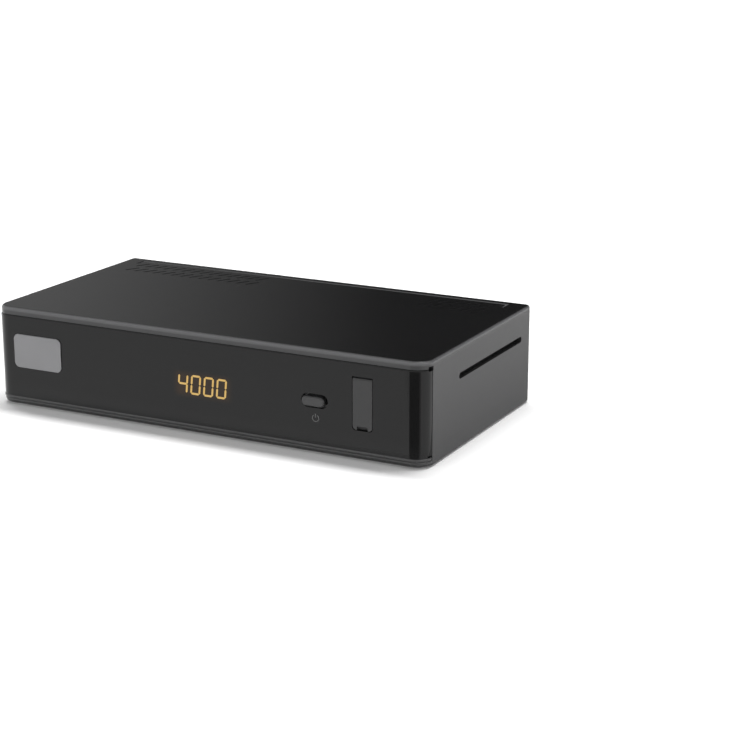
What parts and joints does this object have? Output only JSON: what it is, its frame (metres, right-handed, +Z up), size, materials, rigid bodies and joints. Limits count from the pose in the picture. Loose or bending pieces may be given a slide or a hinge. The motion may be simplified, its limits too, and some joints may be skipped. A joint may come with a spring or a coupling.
{
  "type": "satellite tv receiver",
  "caption": "Compact satellite TV receiver with wraparound gloss fascia, amber digits, push button, hinged socket flap, side card slot and rear connectors.",
  "frame": {"origin": "on the resting plane under the rubber feet, below the centre of the bounding box", "axes": "+X to the right seen from the front, front face towards -Y, +Z up"},
  "size_m": [0.1816, 0.106, 0.0387],
  "materials": {
    "shell_black": "fine satin moulded",
    "fascia_gloss": "smooth gloss",
    "frame_black": "matt moulded",
    "panel_black": "satin powder coat",
    "foot_rubber": "matt",
    "screw_steel": "zinc plated",
    "circuit_board": "solder mask",
    "connector_nickel": "nickel plated",
    "tin_plate": "tin plate",
    "socket_black": "matt moulded",
    "insulator_white": "matt moulded",
    "button_grey": "satin",
    "door_grey": "satin",
    "display_smoked": "gloss",
    "chip_black": "matt moulded",
    "heatsink_aluminium": "extruded",
    "contact_brass": "plated",
    "sleeve_blue": "shrink sleeve",
    "cable_grey": "flat cable"
  },
  "bodies": {
    "housing": {"top_cover": "shell_black", "base_tray": "shell_black", "front_fascia": "fascia_gloss", "front_frame": "frame_black", "rear_panel": "panel_black", "rubber_feet": "foot_rubber", "case_screws": "screw_steel", "board_screws": "screw_steel", "display_board": "circuit_board", "display_board_screws": "screw_steel", "led_display": "display_smoked", "ir_receiver": "display_smoked", "tact_switch_body": "socket_black", "usb_socket": "tin_plate", "usb_tongue": "insulator_white", "main_board": "circuit_board", "tuner_can": "tin_plate", "lnb_in_connector": "connector_nickel", "lnb_out_connector": "connector_nickel", "lnb_insulators": "insulator_white", "scart_socket": "socket_black", "ethernet_socket": "socket_black", "hdmi_socket": "connector_nickel", "spdif_socket": "socket_black", "dc_inlet": "socket_black", "dc_inlet_pin": "connector_nickel", "card_reader_frame": "socket_black", "card_reader_cover": "tin_plate", "card_contacts": "contact_brass", "reader_board": "circuit_board", "reader_spacers": "contact_brass", "reader_ribbon": "cable_grey", "front_ribbon": "cable_grey", "main_processor": "chip_black", "heatsink": "heatsink_aluminium", "memory_chips": "chip_black", "flash_chip": "chip_black", "crystal": "tin_plate", "capacitors": "sleeve_blue", "inductors": "chip_black", "regulators": "chip_black"},
    "button": {"power_button": "button_grey"},
    "plunger": {"tact_switch_plunger": "socket_black"},
    "flap": {"usb_door": "door_grey"}
  },
  "joints": [
    {"name": "power_press", "type": "slide", "parent": "housing", "child": "button", "axis": [0, 1, 0], "range_m": [0, 0.0004], "stiffness_N_per_m": 1500},
    {"name": "switch_press", "type": "slide", "parent": "housing", "child": "plunger", "axis": [0, 1, 0], "range_m": [0, 0.0004]},
    {"name": "flap_hinge", "type": "hinge", "parent": "housing", "child": "flap", "pos_m": [0.0667, -0.0502, 0.0294], "axis": [-1, 0, 0], "range_deg": [0, 90]}
  ],
  "couplings": [
    {"joint": "switch_press", "follows": "power_press", "ratio": 1}
  ]
}
